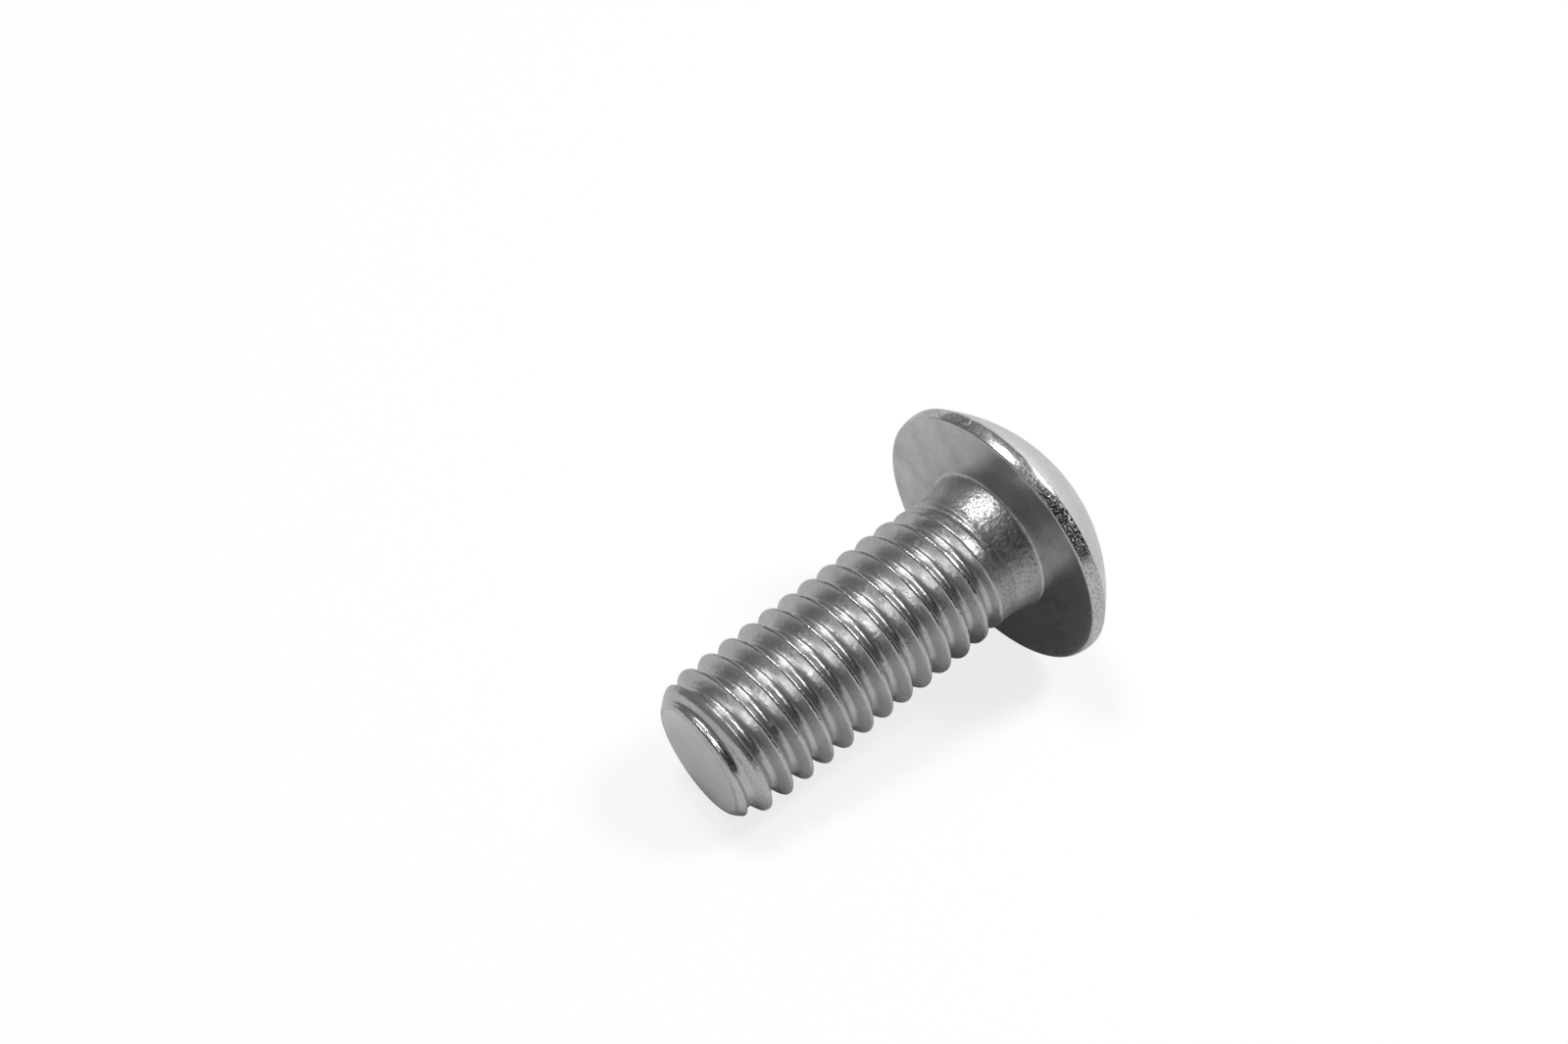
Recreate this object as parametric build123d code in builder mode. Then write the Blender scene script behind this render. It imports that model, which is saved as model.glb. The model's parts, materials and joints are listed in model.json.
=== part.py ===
from build123d import *
import os
from math import atan, atan2, cos, degrees, floor, radians, sin, sqrt, tan

# Button head screw, M5 x 12, with a 3 mm hexagon socket: one piece of stainless steel.
#
# The screw is made standing on its axis: the head is up, the bearing face under the head is
# at Z = 0 and the shank runs down to Z = -length. The last step lays it down as it rests on
# a table, on the rim of its head and on one crest of the thread near the tip. The origin
# stays at the middle of the bearing face.

# ---- Driving dimensions, in millimetres and degrees ----

# Shank
length = 12.0                    # from the bearing face to the end face
major_radius = 2.42              # crest of an M5 thread, class 6g
pitch_radius = 2.21              # where crest and groove are equally wide
root_radius = 1.95               # floor of the groove
pitch = 0.8
flank_angle = 30.0               # each flank from the plane square to the axis
full_depth_start = 1.75          # from the bearing face to where the groove has its full depth
runout_lift = 0.55               # the groove rises by this much in the turn in which it fades out
end_radius = 1.90                # end face, inside the chamfer
chamfer_angle = 30.0             # cone of the tip from the axis
end_bevel = 0.10                 # broken corner between the end face and the cone

# Head
head_radius = 4.60
rim_height = 0.45                # straight band round the edge of the head
dome_height = 2.75               # where the dome would meet the axis
neck_flare = 0.36                # soft curve from the shank into the bearing face
rim_bevel = 0.08                 # broken corner between the bearing face and the rim

# Socket
hex_across_flats = 3.0
mouth_radius = 1.78              # where the countersink meets the dome
countersink_angle = 45.0
socket_depth = 1.60              # from the mouth to the flat part of the socket's floor
drill_point_depth = 0.35         # shallow cone left by the punch under the hexagon

# Rest
thread_turn = 28.2               # from the lowest line of the screw to the groove's start

# Room that the cutters have past the metal
margin = 0.04
overrun = 0.18

# ---- Sizes worked out from those above ----

flank_slope = tan(radians(flank_angle))
crest_width = pitch / 2 - 2 * (major_radius - pitch_radius) * flank_slope
chamfer_length = (major_radius - end_radius) / tan(radians(chamfer_angle))

# The dome is one arc about a point on the axis.
dome_rise = dome_height - rim_height
dome_radius = (head_radius**2 + dome_rise**2) / (2 * dome_rise)
dome_center = dome_height - dome_radius
dome_middle = head_radius / 2
dome_middle_height = dome_center + sqrt(dome_radius**2 - dome_middle**2)
mouth_height = dome_center + sqrt(dome_radius**2 - mouth_radius**2)
socket_floor = mouth_height - socket_depth


def groove_half_width(radius):
    """Half of the groove's width along the axis, at a distance from the axis."""
    return pitch / 4 + (radius - pitch_radius) * flank_slope


# ---- Blank: head and shank in one turned piece ----

with BuildPart() as blank:
    with BuildSketch(Plane.XZ):
        with BuildLine():
            Polyline(
                (0, dome_height),
                (0, -length),
                (end_radius, -length),
                (major_radius, chamfer_length - length),
                (major_radius, -neck_flare),
            )
            Bezier((major_radius, -neck_flare), (major_radius, 0), (major_radius + neck_flare, 0))
            Polyline(
                (major_radius + neck_flare, 0),
                (head_radius, 0),
                (head_radius, rim_height),
            )
            ThreePointArc((head_radius, rim_height), (dome_middle, dome_middle_height), (0, dome_height))
        make_face()
    revolve(axis=Axis.Z)

    chamfer(blank.edges().filter_by_position(Axis.Z, -margin, margin).sort_by(SortBy.RADIUS)[-1], rim_bevel)
    chamfer(blank.edges().group_by(Axis.Z)[0], end_bevel)

    # Socket: a hexagon punched down to its floor, a shallow cone under it, and a countersunk
    # mouth that the six flats cut into scallops.
    with BuildSketch(Plane.XY.offset(socket_floor)):
        RegularPolygon(radius=hex_across_flats / 2, side_count=6, major_radius=False)
    extrude(amount=dome_height, mode=Mode.SUBTRACT)
    with BuildSketch(Plane.XZ):
        with BuildLine():
            Polyline(
                (0, socket_floor - drill_point_depth),
                (hex_across_flats / 2, socket_floor),
                (0, socket_floor),
                close=True,
            )
        make_face()
    revolve(axis=Axis.Z, mode=Mode.SUBTRACT)
    sink_slope = tan(radians(countersink_angle))
    sink_depth = mouth_radius / 2
    with BuildSketch(Plane.XZ):
        with BuildLine():
            Polyline(
                (0, mouth_height - sink_depth),
                (mouth_radius - sink_depth * sink_slope, mouth_height - sink_depth),
                (mouth_radius + dome_rise * sink_slope, mouth_height + dome_rise),
                (0, mouth_height + dome_rise),
                close=True,
            )
        make_face()
    revolve(axis=Axis.Z, mode=Mode.SUBTRACT)


# ---- Thread: one turn of the groove, and the turn in which it fades out ----


def groove_profile(height):
    """Section of the groove's cutter, in the plane of the axis, at a height on the +X side."""
    wide = major_radius + margin
    outside = wide + overrun
    with BuildSketch(Plane(origin=(0, 0, height), x_dir=(1, 0, 0), z_dir=(0, -1, 0))) as profile:
        with BuildLine():
            Polyline(
                (outside, groove_half_width(wide)),
                (wide, groove_half_width(wide)),
                (root_radius, groove_half_width(root_radius)),
                (root_radius, -groove_half_width(root_radius)),
                (wide, -groove_half_width(wide)),
                (outside, -groove_half_width(wide)),
                close=True,
            )
        make_face()
    return profile.sketch


with BuildPart() as groove_turn:
    with BuildLine() as turn_path:
        Helix(
            pitch=pitch,
            height=pitch,
            radius=root_radius,
            center=(0, 0, -full_depth_start - pitch),
        )
    sweep(groove_profile(-full_depth_start - pitch), path=turn_path.line, is_frenet=True)

# On a cone the pitch is measured along the slope.
runout_cone = atan(runout_lift / pitch)

with BuildPart() as groove_runout:
    with BuildLine() as runout_path:
        Helix(
            pitch=pitch / cos(runout_cone),
            height=pitch,
            radius=root_radius,
            center=(0, 0, -full_depth_start),
            cone_angle=degrees(runout_cone),
        )
    sweep(groove_profile(-full_depth_start), path=runout_path.line, is_frenet=True)

groove_turns = floor((length - full_depth_start) / pitch) + 2

with BuildPart() as upright_screw:
    add(blank.part)
    with Locations(*[(0, 0, -turn * pitch) for turn in range(groove_turns)]):
        add(groove_turn.part, mode=Mode.SUBTRACT)
    add(groove_runout.part, mode=Mode.SUBTRACT)


# ---- Rest: lying on the rim of the head and on the last full crest of the lowest line ----

first_crest = full_depth_start + pitch * (thread_turn / 360 + 1 / 2)
last_crest_room = length - chamfer_length - crest_width / 2
last_crest = first_crest + pitch * floor((last_crest_room - first_crest) / pitch)
crest_corner = last_crest + crest_width / 2

# The floor touches the corner of that crest and the edge of the rim.
tilt = atan2(head_radius - major_radius, crest_corner + rim_bevel)

head_way = Vector(-cos(tilt), 0, sin(tilt))
down_way = Vector(-sin(tilt), 0, -cos(tilt))
lying = Plane(origin=(0, 0, 0), x_dir=down_way.rotate(Axis((0, 0, 0), head_way), thread_turn), z_dir=head_way)

with BuildPart(lying) as button_head_screw:
    add(upright_screw.part)

button_head_screw.part.label = "button_head_screw"

os.makedirs("parts", exist_ok=True)
export_step(button_head_screw.part, "parts/button_head_screw.step")

floor_height = -(crest_corner * sin(tilt) + major_radius * cos(tilt))
print(f"axis leans {degrees(tilt):.2f} degrees, floor at Z = {floor_height:.3f}")
print(f"volume {button_head_screw.part.volume:.2f} mm3, {len(button_head_screw.part.solids())} solid")
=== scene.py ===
# %% [markdown]
# # A button head screw, lying on a table
#
# A button head screw starts as a piece of stainless wire. One end is struck cold into a wide, low dome, a
# punch leaves the six-sided socket in it, and flat dies roll the thread into the other end. The shapes
# are pressed and not cut, so every edge is soft. Only the end face was cut, with the wire, and it is a
# little out of square. This lesson rebuilds those shapes round an exact model, which gives the sizes and
# the place of the screw.

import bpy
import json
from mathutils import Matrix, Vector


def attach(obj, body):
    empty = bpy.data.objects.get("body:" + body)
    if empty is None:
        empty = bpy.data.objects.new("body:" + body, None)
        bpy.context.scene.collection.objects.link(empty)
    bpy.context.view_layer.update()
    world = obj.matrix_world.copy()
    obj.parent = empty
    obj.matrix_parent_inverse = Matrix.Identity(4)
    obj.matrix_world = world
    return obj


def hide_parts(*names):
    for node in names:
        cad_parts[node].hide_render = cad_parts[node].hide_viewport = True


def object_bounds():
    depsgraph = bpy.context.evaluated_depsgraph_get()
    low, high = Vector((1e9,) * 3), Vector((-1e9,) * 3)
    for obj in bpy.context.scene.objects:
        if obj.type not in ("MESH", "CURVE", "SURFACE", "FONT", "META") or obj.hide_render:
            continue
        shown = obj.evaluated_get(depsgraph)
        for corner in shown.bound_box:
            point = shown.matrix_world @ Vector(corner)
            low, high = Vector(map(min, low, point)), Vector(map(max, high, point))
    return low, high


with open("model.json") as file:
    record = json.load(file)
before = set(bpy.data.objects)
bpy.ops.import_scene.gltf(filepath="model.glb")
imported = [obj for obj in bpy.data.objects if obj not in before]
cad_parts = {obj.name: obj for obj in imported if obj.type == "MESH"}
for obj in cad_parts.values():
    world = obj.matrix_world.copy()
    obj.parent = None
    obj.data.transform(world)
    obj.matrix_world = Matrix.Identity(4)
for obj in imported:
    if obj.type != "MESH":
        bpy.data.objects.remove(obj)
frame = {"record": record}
cad_low, cad_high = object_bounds()
print("exact model:", [round(1000 * c, 3) for c in cad_low], [round(1000 * c, 3) for c in cad_high], "mm")

# %% [markdown]
# The work is done in millimetres, with the screw standing upright: the bearing face under the head is at
# height 0, the head is above it and the thread runs down. That is how such a screw is drawn, and it keeps
# the numbers plain. Only the finished mesh is laid down and shrunk to metres.

# %% Sizes of the screw, in millimetres and degrees
import math
import bpy
import numpy as np
from mathutils import Matrix, Vector

# Shank
LENGTH = 11.97                   # from the bearing face to the middle of the end face
PITCH = 0.8
CREST = 2.42                     # radius of the crests
MIDDLE = 2.145                   # radius at which ridge and groove are equally wide
FLANK_ANGLE = 30
ROOT_ROUND = 0.18
CREST_ROUND = 0.05
FULL_DEPTH = 1.75                # the groove has its full depth below this
RUNOUT = 0.55                    # above that it gets shallower by so much a turn

# Neck
NECK_ROUND = 0.10                # round between the neck and the bearing face
NECK_SLOPE = 0.165               # how fast the neck narrows under the head
WAIST = 2.275                    # radius where it is thinnest
WAIST_DEPTH = 0.98
WAIST_END = 3.10                 # the shank has its full radius below this

# Tip
END_RADIUS = 1.91                # where the curve of the tip meets the end face
END_TAPER = 1.20                 # length over which the tip curves in
END_POWER = 2.5                  # how late it does so
END_ROUND = 0.18
END_TILT = 0.047                 # slope of the end face
END_TILT_TURN = 261.8            # angle round the axis at which the shank is longest

# Head and socket
HEAD = 4.60                      # radius
RIM = 0.45                       # height of the rim
DOME = 2.75                      # where the dome would meet the axis
HEX = 3.0                        # across the flats
MOUTH = 1.78                     # radius
SOCKET = 1.60                    # depth
DRILL = 0.35                     # shallow cone under the hexagon

THREAD_TURN = 28.2               # from the lowest line of the lying screw to the start of the groove

# %% [markdown]
# ## The camera and the table
#
# The screw is seen from its tip's side and from above, so that the underside of the head shows behind the
# thread. The camera stands near, which makes the tip look larger than the head. A plane is enough for the
# table. Its height is that of the exact model's lowest point.

# %% Camera
def aim(data, where, way):
    """A new object at a place, looking along a direction."""
    made = bpy.data.objects.new(data.name, data)
    bpy.context.scene.collection.objects.link(made)
    made.location = where
    made.rotation_euler = Vector(way).to_track_quat("-Z", "Y").to_euler()
    return made


lens = bpy.data.cameras.new("camera")
lens.lens, lens.sensor_width = 47.71, 36.0
lens.clip_start, lens.clip_end = 0.001, 10.0
camera = aim(lens, (0.037414, 0.034916, 0.042154), (-0.49454, -0.59635, -0.63230))
bpy.context.scene.camera = camera
bpy.context.scene.view_settings.view_transform = "Standard"
print("camera", round(camera.location.length * 1000, 1), "mm from the bearing face")

# %% Nodes in few words
def node(tree, kind, inputs=None, **settings):
    """Adds a node. inputs gives a value or another node's socket for each input by its name or number."""
    made = tree.nodes.new(kind)
    for key, value in settings.items():
        setattr(made, key, value)
    for key, value in (inputs or {}).items():
        if isinstance(value, bpy.types.NodeSocket):
            tree.links.new(value, made.inputs[key])
        else:
            made.inputs[key].default_value = value
    return made


def times_plus(tree, value, factor, extra):
    """value * factor + extra."""
    return node(tree, "ShaderNodeMath", {0: value, 1: factor, 2: extra}, operation="MULTIPLY_ADD")


def spread(tree, value, low, high, to_low, to_high):
    """A value mapped from one range to another."""
    return node(tree, "ShaderNodeMapRange", {"Value": value, "From Min": low, "From Max": high,
                                             "To Min": to_low, "To Max": to_high})


def new_material(name):
    """An empty material and its output node."""
    made = bpy.data.materials.new(name)
    made.use_nodes = True
    made.node_tree.nodes.clear()
    return made, made.node_tree, made.node_tree.nodes.new("ShaderNodeOutputMaterial")


# %% Table
def matt_paper(name, seen, mirrored, tone=0.8, seen_tone=0.8):
    """Matt paper that takes shadows. seen and mirrored are its glow for the camera and in reflections.
    seen_tone is its grey for the camera, and tone its grey for everything else."""
    made, tree, output = new_material(name)
    path = node(tree, "ShaderNodeLightPath")
    camera_ray = path.outputs["Is Camera Ray"]
    seen_glow = node(tree, "ShaderNodeMath", {0: camera_ray, 1: seen}, operation="MULTIPLY")
    rays = {0: path.outputs["Is Glossy Ray"], 1: path.outputs["Is Transmission Ray"]}
    bounce = node(tree, "ShaderNodeMath", rays, operation="MAXIMUM")
    glow = times_plus(tree, bounce.outputs[0], mirrored, seen_glow.outputs[0])
    colour = node(tree, "ShaderNodeMapRange", {"Value": camera_ray, "To Min": tone, "To Max": seen_tone})
    matt = node(tree, "ShaderNodeBsdfDiffuse", {"Color": colour.outputs[0]})
    lit = node(tree, "ShaderNodeEmission", {"Strength": glow.outputs[0]})
    both = node(tree, "ShaderNodeAddShader", {0: matt.outputs[0], 1: lit.outputs[0]})
    tree.links.new(both.outputs[0], output.inputs["Surface"])
    return made


TABLE_SIZE = 0.8                 # metres

bpy.ops.object.select_all(action="DESELECT")
bpy.ops.mesh.primitive_plane_add(size=TABLE_SIZE, location=(0, 0, cad_low.z))
table = bpy.context.object
table.name = "table"
table_paper = matt_paper("table_paper", seen=0.80, mirrored=0.0, tone=0.80, seen_tone=0.25)
table.data.materials.append(table_paper)
print("table at", round(cad_low.z * 1000, 3), "mm")

# %% [markdown]
# ## Light
#
# Two soft lamps hang over the screw, with a weaker one behind its head. Bright steel shows its
# surroundings, so what stands round the table matters as much as the lamps do. Pale paper stands behind
# the screw and, dimmer, beside it. A black card in front makes the dark band that runs along the thread
# and the neck.

# %% Lamps and the room
LAMP_DISTANCE = 0.30             # metres
ROOM_LIGHT = 0.17


def lamp(name, way, width, power):
    """A round lamp that hangs in one direction from the screw and shines on it."""
    data = bpy.data.lights.new(name, "AREA")
    data.shape, data.size, data.energy = "DISK", width, power
    way = Vector(way).normalized()
    return aim(data, way * LAMP_DISTANCE, -way)


lamp("lamp_right", (0.110, -0.180, 0.977), width=0.085, power=0.32)
lamp("lamp_left", (-0.450, 0.335, 0.828), width=0.085, power=0.32)
lamp("lamp_back", (-0.719, 0.005, 0.695), width=0.05, power=0.05)

world = bpy.data.worlds.new("room")
bpy.context.scene.world = world
world.use_nodes = True
world.node_tree.nodes.clear()
path = node(world.node_tree, "ShaderNodeLightPath")
dim = node(world.node_tree, "ShaderNodeBackground", {"Color": (1, 1, 1, 1), "Strength": ROOM_LIGHT})
white = node(world.node_tree, "ShaderNodeBackground", {"Color": (1, 1, 1, 1), "Strength": 1.0})
either = node(world.node_tree, "ShaderNodeMixShader",
              {0: path.outputs["Is Camera Ray"], 1: dim.outputs[0], 2: white.outputs[0]})
node(world.node_tree, "ShaderNodeOutputWorld", {"Surface": either.outputs[0]})

# %% Paper sweeps and a black card
SWEEP_DISTANCE, SWEEP_STEPS = 0.35, 24


def sweep(name, start, end, low, high):
    """A curved wall round part of the table, between two compass angles and two heights, all in degrees."""
    bpy.ops.object.select_all(action="DESELECT")
    bpy.ops.mesh.primitive_plane_add(size=1)
    made = bpy.context.object
    made.name = name
    bpy.ops.object.mode_set(mode="EDIT")
    bpy.ops.mesh.merge(type="CENTER")
    turn = math.radians(start)
    foot, top = (SWEEP_DISTANCE * math.tan(math.radians(h)) for h in (low, high))
    place = (SWEEP_DISTANCE * math.cos(turn), SWEEP_DISTANCE * math.sin(turn), foot)
    bpy.ops.transform.translate(value=place)
    bpy.ops.mesh.extrude_vertices_move(TRANSFORM_OT_translate={"value": (0, 0, top - foot)})
    bpy.ops.mesh.select_all(action="SELECT")
    angle = math.radians(end - start)
    bpy.ops.mesh.spin(steps=SWEEP_STEPS, angle=angle, center=(0, 0, 0), axis=(0, 0, -1))
    bpy.ops.object.mode_set(mode="OBJECT")
    made.visible_camera = False
    return made


side_paper = matt_paper("sweep_side_paper", seen=0.0, mirrored=0.45)
sweep("sweep_side", -125, -85, low=-2, high=14).data.materials.append(side_paper)
back_paper = matt_paper("sweep_back_paper", seen=0.0, mirrored=0.68)
sweep("sweep_back", -205, -125, low=-2, high=30).data.materials.append(back_paper)
black = matt_paper("black_card", seen=0.0, mirrored=0.0, tone=0.04, seen_tone=0.04)
sweep("card_front", 60, 150, low=0, high=60).data.materials.append(black)

# %% [markdown]
# ## The thread
#
# A thread is one shape that repeats every turn and climbs one pitch as it goes. So only one pitch of its
# outline is drawn, as a chain of edges, and the Screw modifier winds it into a long corrugated tube. The
# rows of faces follow the helix, so the light runs cleanly along each crest, which rows stacked as flat
# rings can't give.
#
# A rolled thread has no sharp corners: the steel flows up between the ridges of the dies, which leaves a
# wide round root and a narrow crest with soft edges.

# %% Draw a line with one vertex
def pen_line(name, points):
    """A chain of edges through points, drawn by extruding one vertex again and again."""
    bpy.ops.object.select_all(action="DESELECT")
    bpy.ops.mesh.primitive_plane_add(size=1)
    made = bpy.context.object
    made.name = name
    bpy.ops.object.mode_set(mode="EDIT")
    bpy.ops.mesh.merge(type="CENTER")
    bpy.ops.transform.translate(value=points[0])
    for here, there in zip(points, points[1:]):
        step = tuple(b - a for a, b in zip(here, there))
        bpy.ops.mesh.extrude_vertices_move(TRANSFORM_OT_translate={"value": step})
    bpy.ops.object.mode_set(mode="OBJECT")
    return made


# %% One pitch of the thread's outline
def soft_max(a, b, width):
    """The larger of two values, with the corner between them rounded over a width."""
    share = np.clip(0.5 + 0.5 * (a - b) / width, 0, 1)
    return a * share + b * (1 - share) + width * share * (1 - share)


FLANK = 1 / math.tan(math.radians(FLANK_ANGLE))


def thread_radius(from_crest):
    """The thread's radius at a height measured from the middle of a crest."""
    off = abs(from_crest)
    flank = MIDDLE + (PITCH / 4 - off) * FLANK
    bottom = MIDDLE - PITCH / 4 * FLANK + 2 * ROOT_ROUND
    inside = max(ROOT_ROUND ** 2 - (PITCH / 2 - off) ** 2, 0)
    if PITCH / 2 - off < ROOT_ROUND * math.cos(math.radians(FLANK_ANGLE)):
        flank = bottom - math.sqrt(inside)
    return -float(soft_max(-flank, -CREST, CREST_ROUND))


# Heights from the middle of a crest to the middle of the root, closer together where the outline bends
half = [0, 0.013, 0.026, 0.040, 0.056, 0.075, 0.10, 0.14, 0.18, 0.21, 0.238, 0.264, 0.290, 0.316, 0.343,
        0.371, 0.400]
offsets = [-h for h in half[:0:-1]] + half
print("outline radii", [round(thread_radius(h), 3) for h in half])

# %% Wind the outline into a tube
STEPS, TURNS, TURNS_BELOW = 128, 20, 16          # of the turns, so many lie below the full depth's start
lowest_crest = -FULL_DEPTH + PITCH / 2 - TURNS_BELOW * PITCH
shank = pen_line("shank", [(thread_radius(o), 0, lowest_crest + o) for o in offsets])
bpy.ops.object.modifier_add(type="SCREW")
winding = shank.modifiers[-1]
winding.axis, winding.angle, winding.screw_offset = "Z", 2 * math.pi, PITCH
winding.iterations, winding.steps, winding.render_steps = TURNS, STEPS, STEPS
bpy.ops.object.modifier_apply(modifier=winding.name)
bpy.ops.object.mode_set(mode="EDIT")
bpy.ops.mesh.select_all(action="SELECT")
bpy.ops.mesh.remove_doubles(threshold=1e-4)
bpy.ops.object.mode_set(mode="OBJECT")
print("tube:", len(shank.data.polygons), "faces")

# %% [markdown]
# The tube's ends are cut straight across with Bisect. The cuts lie above and below the real screw,
# because what is beyond the shank becomes the flat faces: the top of the tube is bent out into the
# bearing face, and its bottom is bent in over the end face. So the thread, the rounding at the neck and
# both flat faces are one net of faces.

# %% Cut both ends of the tube
TOP_CUT, END_CUT = -0.85, 12.75


def cut(height, **side):
    """Cuts the tube straight across at a height and throws one side away."""
    bpy.ops.object.mode_set(mode="EDIT")
    bpy.ops.mesh.select_all(action="SELECT")
    bpy.ops.mesh.bisect(plane_co=(0, 0, height), plane_no=(0, 0, 1), **side)
    bpy.ops.object.mode_set(mode="OBJECT")


cut(-TOP_CUT, clear_outer=True)
cut(-END_CUT, clear_inner=True)
print("tube from", round(min(v.co.z for v in shank.data.vertices), 2), "to", round(-TOP_CUT, 2))

# %% [markdown]
# The plain shank isn't a cylinder. Rolling pushes the steel up into the crests, so the neck, which the
# dies miss, stays thinner than they are: it narrows from the head to a waist and then grows to the size
# of the crests. The other end curves in to the end face.

# %% The shape without its thread
WAIST_SOFT = 0.1
FLAT_OUT, FLAT_IN = 4, 1.5       # how far the way runs on, out over the bearing face and in over the end face


def waist(d):
    """How much the neck is thinner or thicker than the crests, at a depth under the head."""
    t = min(max((d - WAIST_DEPTH) / (WAIST_END - WAIST_DEPTH), 0), 1)
    slope = NECK_SLOPE * float(soft_max(WAIST_DEPTH - d, 0, WAIST_SOFT))
    return (WAIST - CREST) * (1 - t * t * (3 - 2 * t)) + slope


def blank():
    """The plain screw's outline: lists of the way along it, the depth under the head, and the radius."""
    way, depth, radius = [], [], []
    quarter = NECK_ROUND * math.pi / 2
    way += [NECK_ROUND - quarter - FLAT_OUT, NECK_ROUND - quarter]
    depth += [0, 0]
    radius += [CREST + waist(0) + NECK_ROUND + FLAT_OUT, CREST + waist(0) + NECK_ROUND]
    for angle in np.linspace(math.pi / 2, 0, 25)[1:]:
        way.append(NECK_ROUND - NECK_ROUND * angle)
        depth.append(NECK_ROUND - NECK_ROUND * math.sin(angle))
        radius.append(CREST + waist(depth[-1]) + NECK_ROUND * (1 - math.cos(angle)))
    for d in np.linspace(NECK_ROUND, WAIST_END, 61)[1:]:
        way.append(d)
        depth.append(d)
        radius.append(CREST + waist(d))
    slope = math.atan(END_POWER * (CREST - END_RADIUS) / END_TAPER)
    turn = math.pi / 2 - slope
    first = LENGTH - END_ROUND * math.tan(turn / 2) * math.cos(slope)
    for d in np.linspace(LENGTH - END_TAPER, first, 60):
        way.append(d)
        depth.append(d)
        share = 1 - (LENGTH - d) / END_TAPER
        radius.append(CREST - (CREST - END_RADIUS) * share ** END_POWER)
    edge = radius[-1]
    for angle in np.linspace(0, turn, 13)[1:]:
        ahead, aside = math.sin(angle), 1 - math.cos(angle)
        way.append(first + END_ROUND * angle)
        depth.append(first + END_ROUND * (math.cos(slope) * ahead - math.sin(slope) * aside))
        radius.append(edge - END_ROUND * (math.sin(slope) * ahead + math.cos(slope) * aside))
    way.append(way[-1] + FLAT_IN)
    depth.append(depth[-1])
    radius.append(radius[-1] - FLAT_IN)
    return way, depth, radius


way, depth, radius = blank()
print("end face at", round(depth[-1], 3), "flat inside radius", round(radius[-2], 3))

# %% [markdown]
# Each point now knows its height on the tube, its angle, and how deep the groove is there. The groove is
# made shallower where the dies ran out under the head and where the end curves in, and the point is put
# on the plain outline, that much nearer the axis. The last millimetre is tilted with the end face. This
# is done in code, because no tool follows a helix.

# %% Let the thread run out at both ends
GROOVE_SOFT = 0.03               # width of the rounding where the groove ends
TILT_START, TILT_FULL = 1.0, 0.2 # the tilt grows between these distances from the end face


def points_of(piece):
    """The piece's points as rows of x, y, z."""
    flat = np.empty(3 * len(piece.data.vertices))
    piece.data.vertices.foreach_get("co", flat)
    return flat.reshape(-1, 3)


def put_points(piece, rows):
    """Writes rows of x, y, z back to the piece."""
    piece.data.vertices.foreach_set("co", rows.ravel())
    piece.data.update()


def run_out(rows):
    """Puts the tube's points on the plain outline, with the groove faded out at its ends."""
    angle = np.arctan2(rows[:, 1], rows[:, 0])
    turns = (angle / (2 * math.pi)) % 1.0
    groove = CREST - np.hypot(rows[:, 0], rows[:, 1])
    past = np.round((rows[:, 2] + FULL_DEPTH) / PITCH - turns) + turns
    along = np.interp(-rows[:, 2], way, depth)
    out = np.interp(-rows[:, 2], way, radius)
    less = RUNOUT * np.maximum(past, 0) + np.maximum(CREST - out, 0)
    width = np.minimum(GROOVE_SOFT, less + 1e-9)
    groove = np.where(less > 0, soft_max(groove - less, 0, width), groove)
    out = out - np.maximum(groove, 0)
    near_end = np.clip((along - LENGTH + TILT_START) / (TILT_START - TILT_FULL), 0, 1)
    along = along + END_TILT * out * np.cos(angle - math.radians(END_TILT_TURN)) * near_end
    return np.stack([out * np.cos(angle), out * np.sin(angle), -along], 1)


put_points(shank, run_out(points_of(shank)))
reach = points_of(shank)
print("shank from", round(reach[:, 2].min(), 3), "to", round(reach[:, 2].max(), 3), "mm along its axis")

# %% [markdown]
# ## The head
#
# The head is round, so half of its outline is drawn once and spun about the axis. It runs from the
# bearing face over the rim and the dome to the socket's mouth, down the socket's wall and in along its
# floor.

# %% Outline of the head
def arc(centre, size, start, end, count):
    """Points on a circle in the outline's plane, from one angle to another in degrees."""
    turns = [math.radians(start + (end - start) * i / (count - 1)) for i in range(count)]
    return [(centre[0] + size * math.cos(a), 0, centre[1] + size * math.sin(a)) for a in turns]


sphere_centre = -(HEAD ** 2 + RIM ** 2 - DOME ** 2) / (2 * (DOME - RIM))
sphere_radius = DOME - sphere_centre
mouth_height = sphere_centre + math.sqrt(sphere_radius ** 2 - MOUTH ** 2)
floor_height = mouth_height - SOCKET


def dome_angle(r):
    """The angle, from the centre of the dome's sphere, of the dome's point at a radius."""
    return math.degrees(math.acos(r / sphere_radius))


EDGE, EDGE_IN = 0.07, 0.11       # small round edge under the rim, and how far in its centre lies
BARREL, BARREL_HEIGHT = 1.00, 0.36               # radius of the rim's bulge, and height of its widest line
DOME_START = 4.55
WALL_TOP = 0.28                  # the socket's wall starts so far below the mouth

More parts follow.
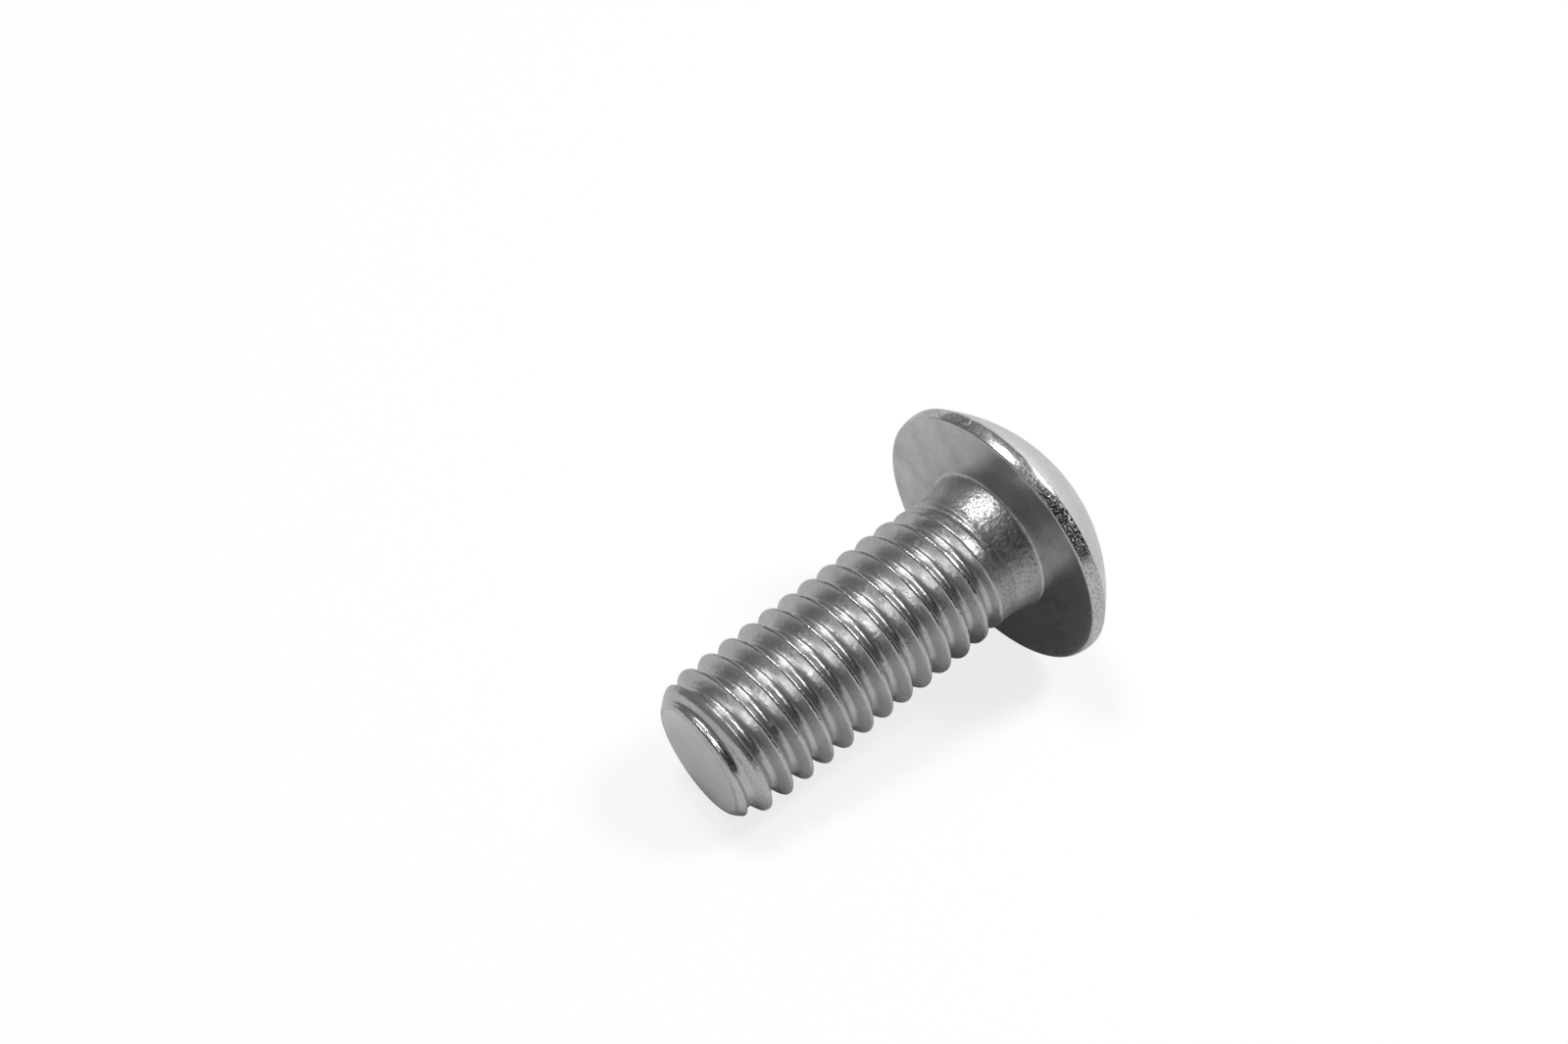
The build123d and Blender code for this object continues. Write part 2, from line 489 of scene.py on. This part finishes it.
outline = [(r, 0, 0) for r in (3.75, 4.05, 4.30)]
outline += arc((HEAD - EDGE_IN, EDGE), EDGE, -90, -22, 6)
outline += arc((HEAD - BARREL, BARREL_HEIGHT), BARREL, -16.5, 5, 10)
outline += [(HEAD - 0.008, 0, 0.464), (HEAD - 0.016, 0, 0.478), (HEAD - 0.030, 0, 0.490)]
outline += arc((0, sphere_centre), sphere_radius, dome_angle(DOME_START), dome_angle(MOUTH + 0.05), 34)
outline += [(MOUTH + 0.02, 0, mouth_height - 0.002), (MOUTH - 0.01, 0, mouth_height - 0.016)]
outline += [(MOUTH - 0.04, 0, mouth_height - 0.042), (MOUTH - 0.10, 0, mouth_height - 0.10)]
outline += [(HEX / 2 + 0.10, 0, mouth_height - 0.20), (HEX / 2, 0, mouth_height - WALL_TOP)]
outline += [(HEX / 2, 0, mouth_height - h) for h in (0.31, 0.38, 0.6, 0.9, 1.2, 1.45, 1.55, SOCKET)]
outline += [(r, 0, floor_height - DRILL * (1 - r / 1.45)) for r in (1.44, 1.38, 1.2, 0.9, 0.6, 0.3, 0.1)]
print("dome radius", round(sphere_radius, 3), "mouth at", round(mouth_height, 3), "points", len(outline))

# %% Spin the head
COLUMNS = 192
head = pen_line("head", outline)
bpy.ops.object.mode_set(mode="EDIT")
bpy.ops.mesh.select_all(action="SELECT")
bpy.ops.mesh.spin(steps=COLUMNS, angle=2 * math.pi, center=(0, 0, 0), axis=(0, 0, 1))
bpy.ops.mesh.select_all(action="SELECT")
bpy.ops.mesh.remove_doubles(threshold=1e-4)
bpy.ops.object.mode_set(mode="OBJECT")
print("head:", len(head.data.polygons), "faces")

# %% [markdown]
# The punch makes a six-sided hole with corners that are not quite sharp. The spun socket is round, so its
# points are pushed outwards to the six sides. Where the cone of the mouth meets a side, the edge dips,
# and it rises to each corner, which gives the mouth its scalloped edge.

# %% Six sides for the socket
SOFT_CORNER = 0.03
CONE_START = MOUTH - 0.04        # radius at which the countersink begins
CONE_END = 0.25                  # it ends above this depth below the mouth
FLOOR_ROUND, FLOOR_SPREAD = 0.9, 0.55            # the floor stays round so far out, and then turns six-sided


def hexagon(angle):
    """How far a six-sided socket reaches at an angle. Its corners are a little rounded."""
    off = np.abs((angle / (math.pi / 3) + 0.5) % 1 - 0.5) * math.pi / 3
    near = HEX / 2 / np.cos(math.pi / 6 - off)
    far = HEX / 2 / math.cos(math.pi / 6) - SOFT_CORNER
    return -soft_max(-near, -(far + 0 * near), 2 * SOFT_CORNER)


def punch(rows):
    """Pushes the spun socket's points out to its six sides."""
    rows = rows.copy()
    angle = np.arctan2(rows[:, 1], rows[:, 0])
    r, z = np.hypot(rows[:, 0], rows[:, 1]), rows[:, 2]
    side = hexagon(angle)
    edge = mouth_height - (MOUTH - side)
    wall = (np.abs(r - HEX / 2) < 1e-3) & (z < mouth_height - CONE_END)
    low = mouth_height - WALL_TOP
    share = np.clip((low - z) / (low - floor_height), 0, 1)
    new_r = np.where(wall, side, r)
    new_z = np.where(wall, edge + (floor_height - edge) * share, z)
    cone = (r < MOUTH) & (r > HEX / 2 + 1e-3) & (z > mouth_height - CONE_END)
    mix = np.clip((CONE_START - r) / (CONE_START - HEX / 2), 0, 1)
    reach = CONE_START + (side - CONE_START) * mix
    new_r = np.where(cone & (mix > 0), reach, new_r)
    new_z = np.where(cone & (mix > 0), mouth_height - (MOUTH - reach), new_z)
    floor = (r < HEX / 2 - 1e-3) & (z < floor_height + 1e-3)
    grown = 1 + (side / (HEX / 2) - 1) * np.clip((r - FLOOR_ROUND) / FLOOR_SPREAD, 0, 1)
    new_r = np.where(floor, r * grown, new_r)
    return np.stack([new_r * np.cos(angle), new_r * np.sin(angle), new_z], 1)


put_points(head, punch(points_of(head)))
corners = 2 * float(hexagon(np.array([0.0]))[0])
print("socket across its sides:", HEX, "mm, across its corners:", round(corners, 3))

# %% [markdown]
# ## One closed piece
#
# The screw is one piece of steel, so the tube and the head become one mesh. Their open edges both lie in
# the bearing face, and the ring between them is filled there. The small hole in the socket's floor and
# the one in the end face are closed with a few smaller rings that meet in a point.

# %% Join the head and the shank
def select_edges(piece, wanted):
    """Selects the open edges whose middle passes a test, in edit mode."""
    bpy.ops.object.mode_set(mode="EDIT")
    bpy.ops.mesh.select_mode(type="EDGE")
    bpy.ops.mesh.select_all(action="DESELECT")
    bpy.ops.mesh.select_non_manifold(extend=False, use_wire=False, use_boundary=True,
                                     use_multi_face=False, use_non_contiguous=False, use_verts=False)
    bpy.ops.object.mode_set(mode="OBJECT")
    mesh = piece.data
    count = 0
    for edge in mesh.edges:
        if edge.select:
            a, b = (mesh.vertices[i].co for i in edge.vertices)
            edge.select = bool(wanted((a + b) / 2))
            count += edge.select
    for vertex in mesh.vertices:
        vertex.select = False
    for face in mesh.polygons:
        face.select = False
    for edge in mesh.edges:
        if edge.select:
            for i in edge.vertices:
                mesh.vertices[i].select = True
    bpy.ops.object.mode_set(mode="EDIT")
    return count


bpy.ops.object.select_all(action="DESELECT")
for part in (head, shank):
    part.select_set(True)
bpy.context.view_layer.objects.active = shank
bpy.ops.object.join()
screw = shank
screw.name = screw.data.name = "screw"
found = select_edges(screw, lambda p: abs(p.z) < 0.01)
bpy.ops.mesh.fill()
print("filled between", found, "edges in the bearing face")

# %% Close the end face and the socket's floor
def in_end_face(p):
    """Whether a point lies at the tip. The margin allows for the tilt."""
    return p.z < -LENGTH + 0.2


def in_socket_floor(p):
    """Whether a point lies on the axis's side of the socket's floor."""
    return p.z > 0.1 and math.hypot(p.x, p.y) < 0.2


for name, test in (("end face", in_end_face), ("socket floor", in_socket_floor)):
    found = select_edges(screw, test)
    for shrink in (0.75, 0.65, 0.5):
        bpy.ops.mesh.extrude_edges_move()
        bpy.ops.transform.resize(value=(shrink, shrink, 1), center_override=(0, 0, 0))
    bpy.ops.mesh.merge(type="CENTER")
    print("closed the", name, "round", found, "edges")
bpy.ops.mesh.select_mode(type="VERT")
bpy.ops.mesh.select_all(action="SELECT")
bpy.ops.mesh.normals_make_consistent(inside=False)
bpy.ops.object.mode_set(mode="OBJECT")
print("screw:", sum(len(p.vertices) - 2 for p in screw.data.polygons), "triangles")

# %% Does it enclose a volume
def open_edges(piece):
    """How many edges don't join exactly two faces."""
    uses = {}
    for face in piece.data.polygons:
        for key in face.edge_keys:
            uses[key] = uses.get(key, 0) + 1
    return sum(1 for count in uses.values() if count != 2)


print("open edges:", open_edges(screw))

# %% [markdown]
# ## Steel
#
# Each part of the screw met a different tool, so the mesh gets a finish for each: the dome, the rough rim
# band, the bearing face, the grainy neck, the rolled thread, the tip, the end face and the socket. Their
# greys are partly painted light: the same steel is lighter on the dome, the rim and the end face as painted
# reflection, and darker on the bearing face as painted shade. The finish of a face is chosen by its place on
# the upright screw.

# %% Which face gets which finish
ZONES = ("dome", "rim", "bearing", "neck", "thread", "tip", "end", "socket")
FACE = 0.02                      # the bearing face's zone reaches so far above and below it
RIM_TOP, RIM_INSIDE = 0.485, 4.4
BEARING_EDGE = HEAD - 0.12
END_EDGE, END_ABOVE = END_RADIUS - 0.12, 0.1     # the end face's zone reaches so far out and up
TIP_ABOVE = 0.45                 # the tip's zone reaches so far above the end
NECK_FOOT = 1.65                 # the neck's zone ends at this depth


def zone_of(r, z):
    """The finish for a face by its radius and height."""
    if z > FACE:
        if r < MOUTH - 0.02:
            return "socket"
        return "rim" if z < RIM_TOP and r > RIM_INSIDE else "dome"
    if z > -FACE:
        return "rim" if r > BEARING_EDGE else "bearing"
    if z < -LENGTH + END_ABOVE and r < END_EDGE:
        return "end"
    if z < -LENGTH + TIP_ABOVE:
        return "tip"
    return "neck" if z > -NECK_FOOT else "thread"


# %% [markdown]
# All the finishes are one recipe with other amounts. Noise gives it a fine grain, coarse dents, clouds of
# stain and dark pits. It is laid out on the upright screw in millimetres, so the Mapping node first turns
# the place of each point back from the table.

# %% How the screw lies
down = Vector(next(m["axis"] for m in frame["record"]["mounts"] if m["name"] == "bearing_face")).normalized()
lowest = Vector((down.z, 0, -down.x))
start = lowest.copy()
start.rotate(Matrix.Rotation(math.radians(THREAD_TURN), 3, -down))
lying = Matrix((start, (-down).cross(start), -down)).transposed()
TO_UPRIGHT = lying.transposed().to_euler("XYZ")

# %% Noise on the steel
FINE, COARSE, CLOUD, SPECK = 22.0, 6.5, 0.9, 18.0                  # scales, per millimetre
PIT_DEPTH, PIT_SHADE, PIT_ROUGH = 0.003, 0.55, 0.15
SHEEN = 0.04                     # how much the roughness varies with the clouds
POLISH_START, POLISH_FULL = CREST - 0.07, CREST - 0.01             # radii between which a crest gets polished


def noise(tree, place, scale, detail, roughness=0.5):
    """Noise of one scale at a place, as a value."""
    made = node(tree, "ShaderNodeTexNoise", {"Vector": place, "Scale": scale, "Detail": detail,
                                             "Roughness": roughness})
    return made.outputs["Fac"]


def from_axis(tree, place):
    """The distance of a place from the screw's axis."""
    across = node(tree, "ShaderNodeVectorMath", {0: place, 1: (1, 1, 0)}, operation="MULTIPLY")
    reach = node(tree, "ShaderNodeVectorMath", {0: across.outputs[0]}, operation="LENGTH")
    return reach.outputs["Value"]


# %% Steel
def steel(name, tone, gloss, grain, dents, pits, stains=0.05, worn=0.0):
    """Stainless steel. tone and gloss are its grey and its roughness. grain and dents are the height of the
    fine and the coarse unevenness in millimetres. pits is the share of dark specks, stains the cloudiness,
    and worn the roughness of polished crests."""
    made, tree, output = new_material(name)
    coordinates = node(tree, "ShaderNodeTexCoord")
    upright = node(tree, "ShaderNodeMapping", {"Vector": coordinates.outputs["Object"],
                                               "Rotation": TO_UPRIGHT, "Scale": (1000, 1000, 1000)})
    place = upright.outputs[0]
    fine = noise(tree, place, FINE, 3.0)
    coarse = noise(tree, place, COARSE, 2.0)
    cloud = noise(tree, place, CLOUD, 4.0, roughness=0.65)
    speck = noise(tree, place, SPECK, 4.0, roughness=0.7)
    pit = spread(tree, speck, 0.30 + 0.25 * pits, 0.36 + 0.28 * pits, 1.0, 0.0).outputs[0]
    shade = spread(tree, cloud, 0.3, 0.7, tone - stains, tone + stains).outputs[0]
    dark = times_plus(tree, pit, -PIT_SHADE * tone, shade)
    sheen = spread(tree, cloud, 0.3, 0.7, gloss + SHEEN, gloss - SHEEN).outputs[0]
    rough = times_plus(tree, pit, PIT_ROUGH, sheen).outputs[0]
    if worn:
        rough = spread(tree, from_axis(tree, place), POLISH_START, POLISH_FULL, rough, worn).outputs[0]
    low = node(tree, "ShaderNodeMath", {0: coarse, 1: dents}, operation="MULTIPLY")
    both = times_plus(tree, fine, grain, low.outputs[0])
    sunk = times_plus(tree, pit, -PIT_DEPTH, both.outputs[0])
    bump = node(tree, "ShaderNodeBump", {"Height": sunk.outputs[0], "Strength": 1.0, "Distance": 0.001})
    shader = node(tree, "ShaderNodeBsdfPrincipled",
                  {"Base Color": dark.outputs[0], "Metallic": 1.0, "Roughness": rough,
                   "Normal": bump.outputs[0]})
    tree.links.new(shader.outputs[0], output.inputs["Surface"])
    return made


# %% A finish for each face, with painted reflection and painted shade in its grey
# The steel's own grey is about 0.60, as on the thread, the tip and the neck. The greys of the dome (0.76),
# the rim (0.66) and the end face (0.82) are painted reflection, lighter than the lamps and papers make them,
# and the grey of the bearing face (0.53) is painted shade, darker than the steel. The socket's grey is 0.50.
FINISH_AND_PAINTED_LIGHT = {
    "dome": dict(tone=0.76, gloss=0.26, grain=0.0012, dents=0.006, pits=0.05),
    "rim": dict(tone=0.66, gloss=0.17, grain=0.0015, dents=0.004, pits=0.35),
    "bearing": dict(tone=0.53, gloss=0.26, grain=0.0006, dents=0.0012, pits=-0.1, stains=0.09),
    "neck": dict(tone=0.62, gloss=0.32, grain=0.0065, dents=0.020, pits=0.34),
    "thread": dict(tone=0.60, gloss=0.32, grain=0.0036, dents=0.016, pits=0.12, worn=0.20),
    "tip": dict(tone=0.60, gloss=0.25, grain=0.002, dents=0.010, pits=0.12, worn=0.20),
    "end": dict(tone=0.82, gloss=0.42, grain=0.0008, dents=0.001, pits=-0.1),
    "socket": dict(tone=0.50, gloss=0.28, grain=0.003, dents=0.008, pits=0.3),
}
for zone in ZONES:
    screw.data.materials.append(steel("steel_" + zone, **FINISH_AND_PAINTED_LIGHT[zone]))
tally = dict.fromkeys(ZONES, 0)
for face in screw.data.polygons:
    middle = face.center
    zone = zone_of(math.hypot(middle.x, middle.y), middle.z)
    face.material_index = ZONES.index(zone)
    tally[zone] += 1
print("faces by finish:", tally)

# %% [markdown]
# ## Lay it down
#
# The record of the exact model says which way the bearing face looks, and that is the screw's axis as it
# lies on the table. The finished mesh is turned to it, shrunk from millimetres to metres, and takes the
# exact model's place.

# %% Turn the mesh and hand it over
SMOOTH_ANGLE = 50                # sharper edges than this stay sharp

screw.data.transform(lying.to_4x4() @ Matrix.Scale(0.001, 4))
bpy.ops.object.select_all(action="DESELECT")
screw.select_set(True)
bpy.context.view_layer.objects.active = screw
bpy.ops.object.shade_smooth_by_angle(angle=math.radians(SMOOTH_ANGLE))
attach(screw, "root")
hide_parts("button_head_screw")
print("laid down, start of the thread at", [round(c, 4) for c in start])

# %% json
import json
